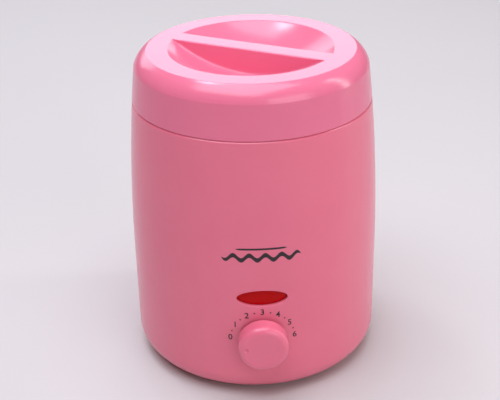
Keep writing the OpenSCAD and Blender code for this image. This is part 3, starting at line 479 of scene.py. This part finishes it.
knob_low, knob_high = (np.array(corner) * 1000 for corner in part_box("control_knob"))
knob_r, skirt, face = knob_high[0], -knob_high[1], -knob_low[1]
knob_t, hub_r, shaft_r = 1.8, 5.2, 3.05
knob_round, hub_roof = 3, 2.1
dimple_r, dimple_depth, dimple_circle = 1, 0.5, 7.84
knob_turns = full_turn(288)
knob_outside = rounded([(knob_r - knob_t, skirt), (knob_r, skirt, sharp_r), (knob_r, face, knob_round),
                        (0, face)], 14)[:-3]
face_r = np.concatenate([np.arange(8.4, 6.6, -0.1), np.arange(6.5, 0, -1), [0.5, 0]])
knob_outside = np.vstack([knob_outside, np.stack([face_r, face + 0 * face_r], -1)])
knob_inside = rounded([
    (0, face - hub_roof), (shaft_r, face - hub_roof), (shaft_r, skirt + 0.5), (hub_r, skirt + 0.5, 0.3),
    (hub_r, face - knob_t, 0.5), (knob_r - knob_t, face - knob_t, 1), (knob_r - knob_t, skirt)])
outside_points, outside_faces = turned(knob_outside, knob_turns)
pointer = dimple_circle * np.array([np.cos(dial_first), np.sin(dial_first)])
off = np.linalg.norm(outside_points[:, :2] - pointer, axis=1) / dimple_r
dimple = dimple_depth * np.maximum(1 - off ** 2, 0)
outside_points[:, 2] -= np.where(outside_points[:, 2] > face - 1, dimple, 0)
inside_points, inside_faces = turned(knob_inside, knob_turns)
knob_grids = [(facing_front(points) + [0, 0, dial_z], faces)
              for points, faces in ((outside_points, outside_faces), (inside_points, inside_faces))]
knob_abs = finish("glossy moulded pink ABS, knob", "#ee7892", "#ea728e", 0.24, 3.0, 0.0012, abs_fields)
knob = piece("dial_knob", knob_grids, knob_abs, body="knob")
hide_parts("control_knob")

# ---------------------------------------------------------------- lid
# A second moulding in the same pink: a band that carries on the barrel's curve, a rounded shoulder,
# and a round dish crossed by a grip bar that is hollow from below. A spigot under the band drops
# into the housing's pocket.

lid_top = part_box("lid")[1].z * 1000
lid_z = seam_z + 0.1
band_z = lid_z + 16
lid_t = 2
spigot_r, spigot_inner_r, spigot_z = 49.6, 48, 126
inner_band_r, inner_ring_r = 53, 46.67
shoulder_w, shoulder_r = 6, 12
shoulder_foot = np.array([wall_r(band_z, 0), band_z])
shoulder_top = shoulder_foot + (-shoulder_w, lid_top - band_z)
dish_r, dish_depth = 37.97, 12
sphere_r = (dish_r ** 2 + dish_depth ** 2) / (2 * dish_depth)
centre_z = lid_top - dish_depth + sphere_r
grip_turn = np.radians(-28.3)
inner_disc_r = 39.5


def shoulder_arc(radius, steps=10):
    """Points round the shoulder's centre, which is as far from both its ends as its outer radius."""
    half = (shoulder_top - shoulder_foot) / 2
    across = np.array([-half[1], half[0]]) / np.linalg.norm(half)
    centre = shoulder_foot + half + across * np.sqrt(shoulder_r ** 2 - half @ half)
    first, last = (np.arctan2(*(end - centre)[::-1]) for end in (shoulder_foot, shoulder_top))
    t = np.linspace(first, last, steps)
    return centre + radius * np.stack([np.cos(t), np.sin(t)], -1)


def dish_z(r, radius, top, edge):
    """Height of the dish: a sphere, then a fillet of radius edge that turns it over into the level top.

    The fillet's centre is below the top by edge, and radius + edge away from the sphere's centre."""
    outer = np.sqrt((radius + edge) ** 2 - (centre_z - top + edge) ** 2)
    inner = outer * radius / (radius + edge)
    sphere = centre_z - np.sqrt(np.maximum(radius ** 2 - r ** 2, 0))
    fillet = top - edge + np.sqrt(np.maximum(edge ** 2 - (outer - r) ** 2, 0))
    return np.where(r < inner, sphere, np.where(r < outer, fillet, top))


def dish_with_bar(radius, top, half_width, top_fillet, foot_fillet, edge):
    """A round grid of the dish and the bar across it, in lines along the bar, and the turns of its rim.

    Line i is at n0 across the bar and runs along s = sqrt(R^2 - n0^2) sin(psi). Over the bar, lines lie
    on its top, round its top fillet, down its wall and round its foot fillet. Both fillets and each
    line's shift across the bar shrink in step with the bar's height where it runs out into the rim, and
    the shift also by 1 - sin^8(psi), so that it is nothing at the grid's own rim."""
    turn_up = np.radians(np.linspace(15, 90, 6))
    rise, level, outward = np.linspace(0, 1, 9)[1:], np.linspace(0, 1, 6), np.linspace(0, 1, 50)[1:]
    spread = np.arcsin(grip_half / inner_disc_r) * (1 - outward) + np.pi / 2 * outward
    n0 = np.concatenate([grip_half * level, np.full(len(turn_up) * 2 + len(rise), grip_half),
                         inner_disc_r * np.sin(spread)])
    inward = half_width - grip_half
    shift = np.concatenate([
        (inward - top_fillet) * level, inward - top_fillet * (1 - np.sin(turn_up)), inward + 0 * rise,
        inward + foot_fillet * (1 - np.cos(turn_up)), (inward + foot_fillet) * (1 - outward)])
    share = np.concatenate([1 + 0 * level, 1 + 0 * turn_up, 1 - rise, 0 * turn_up, 0 * spread])
    lift = np.concatenate([
        0 * level, -top_fillet * (1 - np.cos(turn_up)), foot_fillet * rise - top_fillet * (1 - rise),
        foot_fillet * (1 - np.sin(turn_up)), 0 * spread])
    n0, shift = (np.concatenate([-v[:0:-1], v])[:, None] for v in (n0, shift))
    share, lift = (np.concatenate([v[:0:-1], v])[:, None] for v in (share, lift))
    along_bar = np.sin(np.radians(np.linspace(-90, 90, 97)))
    s = np.sqrt(np.maximum(inner_disc_r ** 2 - n0 ** 2, 0)) * along_bar
    height = top - dish_z(np.sqrt(s ** 2 + half_width ** 2), radius, top, edge)
    fading = np.where(height < 0.03, 0, np.clip(height / 3, 0, 1))
    n = n0 + fading * (1 - along_bar ** 8) * shift
    bowl = dish_z(np.sqrt(n ** 2 + s ** 2), radius, top, edge)
    z = bowl + share * (top - bowl) + fading * lift
    c, d = np.cos(grip_turn), np.sin(grip_turn)
    points = np.stack([s * c - n * d, s * d + n * c, z], -1).reshape(-1, 3)
    rim = np.arcsin(np.clip(np.unique(np.round(n0, 9)) / inner_disc_r, -1, 1))
    return points, quads(len(n0), s.shape[1], False), grip_turn + np.concatenate([rim, np.pi - rim[-2:0:-1]])


grip_half = 5
dish_points, dish_faces, rim_turns = dish_with_bar(
    sphere_r, lid_top, grip_half, top_fillet=0.7, foot_fillet=1.5, edge=0.8)
under_points, under_faces, rim_turns = dish_with_bar(
    sphere_r + lid_t, lid_top - lid_t, grip_half - lid_t, top_fillet=0.5, foot_fillet=1, edge=0.8)
band_heights = np.linspace(lid_z + seam_chamfer + edge_r, band_z - 0.6, 12)
inner_heights = np.linspace(lid_z + lid_t, band_z - 1, 6)[::-1]
lid_outline = np.vstack([
    rounded([(inner_disc_r, lid_top - lid_t), (inner_ring_r, lid_top - lid_t),
             *shoulder_arc(shoulder_r - lid_t)[-2::-1]]),
    np.stack([wall_r(inner_heights, lid_t), inner_heights], -1),
    rounded([(inner_band_r, lid_z + lid_t), (spigot_inner_r, lid_z + lid_t, 0.3),
             (spigot_inner_r, spigot_z, 0.3), (spigot_r, spigot_z, 0.3), (spigot_r, lid_z, 0.2),
             (seam_r - seam_chamfer, lid_z, sharp_r),
             (wall_r(lid_z + seam_chamfer, 0), lid_z + seam_chamfer, sharp_r),
             (wall_r(band_heights[0], 0), band_heights[0])]),
    np.stack([wall_r(band_heights, 0), band_heights], -1)[1:],
])
shoulder_line = shoulder_arc(shoulder_r)
shoulder_line = rounded([(wall_r(band_heights[-1], 0), band_heights[-1]), (*shoulder_line[0], 2.4),
                         *shoulder_line[1:-1], (*shoulder_line[-1], 0.8), (inner_disc_r, lid_top)])
lid_outline = np.vstack([lid_outline, shoulder_line[1:]])
lid_grids = [turned(lid_outline, rim_turns), (dish_points, dish_faces), (under_points, under_faces[:, ::-1])]
lid_abs = finish("glossy moulded pink ABS, lid", "#ef7b99", "#eb7595", 0.2, 3.0, 0.0012, abs_fields)
lid = piece("lift_off_lid", lid_grids, lid_abs, body="lid")
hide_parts("lid")

# ---------------------------------------------------------------- base
# The base plate is the third moulding, satin underneath, with ventilation slots, held by four zinc-
# plated screws. Four turned rubber feet are pushed through it up to their barbs.


def give(made, *names):
    """Puts a material on CAD nodes."""
    for name in names:
        for slot in cad[name].material_slots:
            slot.material = made


# Fine spark texture 0.8 mm across takes the gloss off the plate, so it looks paler and softer.
give(finish("satin moulded pink ABS", "#e58aa3", "#df809a", 0.5, 0.8, 0.02, abs_fields), "base_plate")
# Zinc plate is bright but slightly cloudy.
metal = {"Metallic": 1.0}
give(finish("zinc-plated steel", "#bfc2c4", "#a9adb0", 0.3, 1.2, 0.004, metal, 5.0),
     "base_screws", "holder_screws", "clip_screws", "clamp_screw", "clamp_nut", "bracket_nuts", "fuse_nut",
     "block_screws", "thermostat_nut")

# Moulded rubber is dark grey rather than black, with a dull bloom and no clear highlight.
rubber = finish("matt black moulded rubber", "#1d1d1f", "#28282a", 0.75, 0.6, 0.03, {"IOR": 1.52}, 8.0)
foot_r, foot_circle = 6, 38
stem_r, barb_r, barb_z, stem_z = 2.2, 3, 4.4, 6.4
foot_outline = rounded([
    (0, 0.5), (2.6, 0.5, 0.3), (3.1, 0, 0.3), (5.4, 0, 0.5), (foot_r, 1, 0.4), (foot_r, rim_z, 0.3),
    (stem_r, rim_z, 0.2), (stem_r, barb_z), (barb_r, barb_z, 0.2), (2.5, stem_z, 0.4), (0, stem_z)])
foot_points, foot_faces = turned(foot_outline, full_turn(64))
for number, t in enumerate(np.radians((270, 0, 90, 180)), 1):
    foot_place = [foot_circle * np.cos(t), foot_circle * np.sin(t), 0]
    foot = piece(f"foot_{number}", [(foot_points + foot_place, foot_faces)], rubber)
    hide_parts(f"rubber_foot_{number}")

# ---------------------------------------------------------------- cord gland
# A round moulded gland of black rubber in the back of the housing, with a rounded flange that sits in
# its recess, and a nylon nut on it inside. The nut's nylon is smoother and shines a little more.

gland_y = [corner.y * 1000 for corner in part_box("cord_gland")]
bore_r, flange_r, neck_r = 3.3, 8, gland_bore_r - 0.05
gland_outline = rounded([
    (bore_r, gland_y[0]), (neck_r, gland_y[0], 0.2), (neck_r, seat_y),
    (flange_r, seat_y, 0.2), (flange_r, gland_y[1], 0.8), (bore_r, gland_y[1], 0.6), (bore_r, gland_y[0])])
gland_points, gland_faces = turned(gland_outline, full_turn(72))
gland_place = facing_front(gland_points) * [-1, -1, 1] + [0, 0, inlet_z]
gland = piece("cord_inlet", [(gland_place, gland_faces)], rubber)
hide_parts("cord_gland")
give(finish("black moulded nylon", "#232325", "#2b2b2e", 0.45, 0.8, 0.01, {"IOR": 1.53}, 8.0), "gland_nut")

# ---------------------------------------------------------------- wax pot
# A thin pot spun from aluminium sheet, with fine turning rings, a level rim and a rounded foot. Two
# riveted ears carry a folding bail of plated wire, bent outwards through them and flattened outside.

pot_low, pot_high = (np.array(corner) * 1000 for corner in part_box("wax_pot"))
pot_rim_r, pot_top, pot_floor = pot_high[0], pot_high[2], pot_low[2]
pot_r, pot_t, pot_corner = 40, 1, 4
pot_outline = rounded([
    (0, pot_floor), (pot_r, pot_floor, pot_corner), (pot_r, pot_top - pot_t, 0.5),
    (pot_rim_r, pot_top - pot_t, 0.45), (pot_rim_r, pot_top, 0.45), (pot_r - pot_t, pot_top, 1.2),
    (pot_r - pot_t, pot_floor + pot_t, pot_corner - pot_t), (0, pot_floor + pot_t)], 8)


def spun(name, colour, ring, depth, roughness):
    """Aluminium spun on a lathe: streaks of brighter and duller metal that run round it as rings.

    The noise is read at (radius, 0, height), so it is the same all the way round. Real rings are about
    0.2 mm apart, and are drawn a few times as coarse, ring apart in millimetres, so that they show."""
    made, tree = material(name, colour)
    place = add(tree, "SeparateXYZ", {0: add(tree, "TexCoord", {}).outputs["Object"]})
    across = add(tree, "CombineXYZ", {0: place.outputs[0], 1: place.outputs[1]})
    radius = add(tree, "VectorMath", {0: across.outputs[0]}, operation="LENGTH")
    line = add(tree, "CombineXYZ", {0: radius.outputs["Value"], 2: place.outputs[2]})
    rings = add(tree, "TexNoise", {"Vector": line.outputs[0], "Scale": 1000 / ring, "Detail": 3.0})
    drift = add(tree, "TexNoise", {"Vector": line.outputs[0], "Scale": 1000 / (ring * 12), "Detail": 1.0})
    tone = add(tree, "MixRGB", {0: drift.outputs["Fac"], 1: linear(colour), 2: linear("#b4b8bc")})
    gloss = add(tree, "MapRange", {"Value": rings.outputs["Fac"], "From Min": 0.3, "From Max": 0.7,
                                   "To Min": roughness * 0.8, "To Max": roughness * 1.25})
    relief = add(tree, "Bump", {"Height": rings.outputs["Fac"], "Strength": 1.0, "Distance": depth / 1000})
    shader = add(tree, "BsdfPrincipled", {"Base Color": tone.outputs[0], "Roughness": gloss.outputs[0],
                                          "Normal": relief.outputs[0], **metal, "Anisotropic": 0.5})
    add(tree, "OutputMaterial", {"Surface": shader.outputs[0]})
    return made


pot_metal = spun("spun aluminium, satin", "#d4d6d9", 0.8, 0.012, 0.28)
pot = piece("spun_wax_pot", [turned(pot_outline, full_turn(192))], pot_metal, body="pot")
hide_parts("wax_pot")
give(pot_metal, "pot_ears")

bail_r, wire_r, bend_r, pivot_z = 41, 1.25, 1.8, 128.8
droop = np.radians(2.586)


def swept(path, radii, around_wire=20):
    """A round wire along a path (x, y), of radius r at each point.

    Its points are the path's, plus r cos f along the path's level normal and r sin f up Z."""
    along = np.gradient(path, axis=0)
    along /= np.linalg.norm(along, axis=1, keepdims=True)
    normal = np.stack([along[:, 1], -along[:, 0]], -1)[:, None]
    f = np.arange(around_wire) * 2 * np.pi / around_wire
    flat = path[:, None] + (radii[:, None] * np.cos(f))[..., None] * normal
    wire = np.concatenate([flat, (radii[:, None] * np.sin(f))[..., None]], -1)
    return wire, quads(len(path), around_wire, True)[:, ::-1]


bend = np.radians(np.linspace(270, 180, 9))
hoop = np.arcsin((bend_r + 0.3) / bail_r)
hoop = np.linspace(hoop, np.pi - hoop, 121)
# Each end is peened into a head outside its ear: its places along X, and the wire's radius at each.
end_x = np.array([45.5, 45.49, 45.35, 45.1, 44.9, 44.68, 44.6, 44.55, 43.8])
end_r = np.array([0, 1.35, 1.62, 1.7, 1.7, 1.6, 1.4, 1.25, 1.25])
leg = np.concatenate([np.stack([end_x, 0 * end_x], -1),
                      [bail_r + bend_r, bend_r] + bend_r * np.stack([np.cos(bend), np.sin(bend)], -1)])
path = np.concatenate([leg, bail_r * np.stack([np.cos(hoop), np.sin(hoop)], -1), leg[::-1] * [-1, 1]])
radii = np.full(len(path), wire_r)
radii[:len(end_r)], radii[-len(end_r):] = end_r, end_r[::-1]
wire_points, wire_faces = swept(path, radii)
x, y, z = wire_points.reshape(-1, 3).T
cos_droop, sin_droop = np.cos(droop), np.sin(droop)
tilted = np.stack([x, y * cos_droop + z * sin_droop, pivot_z + z * cos_droop - y * sin_droop], -1)
# Nickel plate is the brightest metal here, with a slightly warm, sharp reflection.
plated = finish("bright nickel-plated wire", "#cfd0d0", "#bfc1c2", 0.14, 1.5, 0.004, metal, 12.0)
bail = piece("folding_bail", [(tilted, wire_faces)], plated, body="bail")
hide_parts("pot_bail")

# ---------------------------------------------------------------- heating
# The pot stands in a spun aluminium well that hangs from the housing's deck on a fibre gasket. A mica
# band heater is clamped round it inside a glass-fibre sleeve, with a thermal fuse under its floor.

# The well is brighter than the pot, because nothing has scoured it. Galvanised sheet is grey and
# mottled. Mica is amber, glossy in flakes. Glass fibre is off-white felt, quite dull, and steatite is a
# dense cream ceramic with a low shine.
give(spun("spun aluminium, bright", "#cfd2d6", 1.1, 0.015, 0.22), "heating_well")
give(finish("galvanised steel sheet", "#b9bcbd", "#a3a7a9", 0.38, 2.5, 0.01, metal, 6.0),
     "thermostat_bracket", "well_clips", "heater_clamp", "fuse_clip", "thermostat_blade")
give(finish("mica sheet", "#9a7d52", "#84683f", 0.3, 2.0, 0.03, {"IOR": 1.58, "Coat Weight": 0.3}, 6.0),
     "heater_band")
felt = {"IOR": 1.5, "Sheen Weight": 0.2}
give(finish("needled glass fibre", "#e4e0d3", "#d5cfbe", 0.85, 0.9, 0.25, felt, 4.0), "insulation_sleeve",
     "well_gasket")
give(finish("steatite ceramic", "#e0dcd0", "#d6d1c3", 0.35, 1.0, 0.01, {"IOR": 1.6}, 5.0), "heater_terminals",
     "thermal_fuse")

# ---------------------------------------------------------------- dial thermostat
# A turned steel shaft in a brass bush works a bimetal blade on a brown phenolic body. A spring clip
# holds the knob on the shaft.

# Turned steel has a soft grey shine, spring steel a harder one, and brass a warm yellow one. Phenolic
# is dark brown and smooth.
give(finish("turned steel", "#c6c7c8", "#b5b7b9", 0.25, 0.5, 0.006, metal, 4.0), "thermostat_shaft")
give(finish("bright spring steel", "#c9cacb", "#b9bbbd", 0.2, 0.8, 0.003, metal, 4.0), "knob_clip")
give(finish("plain brass", "#c9a557", "#bb9648", 0.28, 1.0, 0.005, metal, 4.0), "thermostat_bush",
     "thermostat_terminals", "terminal_screws")
give(finish("brown phenolic moulding", "#3a241c", "#2f1c15", 0.32, 1.0, 0.01, {"IOR": 1.62}, 5.0),
     "thermostat_body")

# ---------------------------------------------------------------- lamp and wiring
# A neon lamp in a nylon holder shines through the window. Silicone-covered leads in mains colours run
# from the terminal block, and push-on receptacles join them to the thermostat's tabs.

# Undyed nylon is waxy and off-white. The lamp's glass is clear, tinted by the neon's glow on its
# electrodes. Silicone is dull and even, in the colour of each lead.
give(finish("natural moulded nylon", "#e2dfd2", "#d8d4c4", 0.4, 0.8, 0.01, {"IOR": 1.53}, 6.0), "lamp_holder",
     "terminal_block", "tab_receptacles")
see_through = {"IOR": 1.5, "Transmission Weight": 0.9}
give(finish("clear lamp glass", "#ffd9c0", "#ffd0b4", 0.04, 3.0, 0.002, see_through), "neon_lamp")
for colour, darker, names in (("#57311d", "#4a2817", ("live_lead", "switched_lead", "heater_lead")),
                              ("#2c5aa6", "#254d90", ("neutral_lead",)),
                              ("#e6e2da", "#dad5ca", ("lamp_leads",)),
                              ("#7fa82c", "#d9c63a", ("earth_lead",))):
    silicone = finish(f"silicone rubber insulation, {names[0]}", colour, darker, 0.5, 1.0, 0.01,
                      {"IOR": 1.43}, 6.0)
    give(silicone, *names)

# ---------------------------------------------------------------- floor and light
# A plain pale table top, with broad soft lights overhead, behind and in front. A small light puts a
# highlight in the lid's dish, and a tall narrow one draws a thin highlight down the barrel's right.

bpy.ops.mesh.primitive_grid_add(x_subdivisions=1, y_subdivisions=1, size=14)
floor = bpy.context.object
floor.name = "floor"
floor.data.materials.append(
    finish("pale matt painted table", "#cfccca", "#cac7c5", 0.6, 1.5, 0.02, {"IOR": 1.5}, 300.0))


def soft_light(name, place, aim, size, power, colour="#ffffff"):
    """A rectangular light at a place, in metres, that faces a point, with its power in watts."""
    data = bpy.data.lights.new(name, "AREA")
    data.shape, data.size, data.size_y, data.energy = "RECTANGLE", *size, power
    data.color = linear(colour)[:3]
    light = bpy.data.objects.new(name, data)
    light.location = place
    light.rotation_euler = (Vector(place) - Vector(aim)).to_track_quat("Z", "Y").to_euler()
    bpy.context.scene.collection.objects.link(light)


middle_z = seam_z / 2000
soft_light("overhead", (-0.15, -0.2, 1.3), (0, 0, middle_z), (1.2, 1.2), 19, "#f4f3ff")
soft_light("highlight", (-0.36, 0.3, 1.2), (0, 0, 2 * middle_z), (0.16, 0.2), 1.6, "#f4f3ff")
soft_light("behind", (-0.25, 1.6, 0.8), (0, 0, 2 * middle_z), (2.2, 0.75), 12, "#f4f3ff")
soft_light("front", (0.95, -1.45, 0.75), (0, 0, middle_z), (1.2, 1.0), 8.5)
soft_light("right", (0.8, 0.05, 0.4), (0, 0, middle_z), (0.1, 0.8), 1.6)

world = bpy.data.worlds.new("studio")
world.use_nodes = True
world.node_tree.nodes["Background"].inputs["Color"].default_value = linear("#fdf8f8")
world.node_tree.nodes["Background"].inputs["Strength"].default_value = 0.17
bpy.context.scene.world = world
bpy.context.scene.view_settings.view_transform = "Standard"
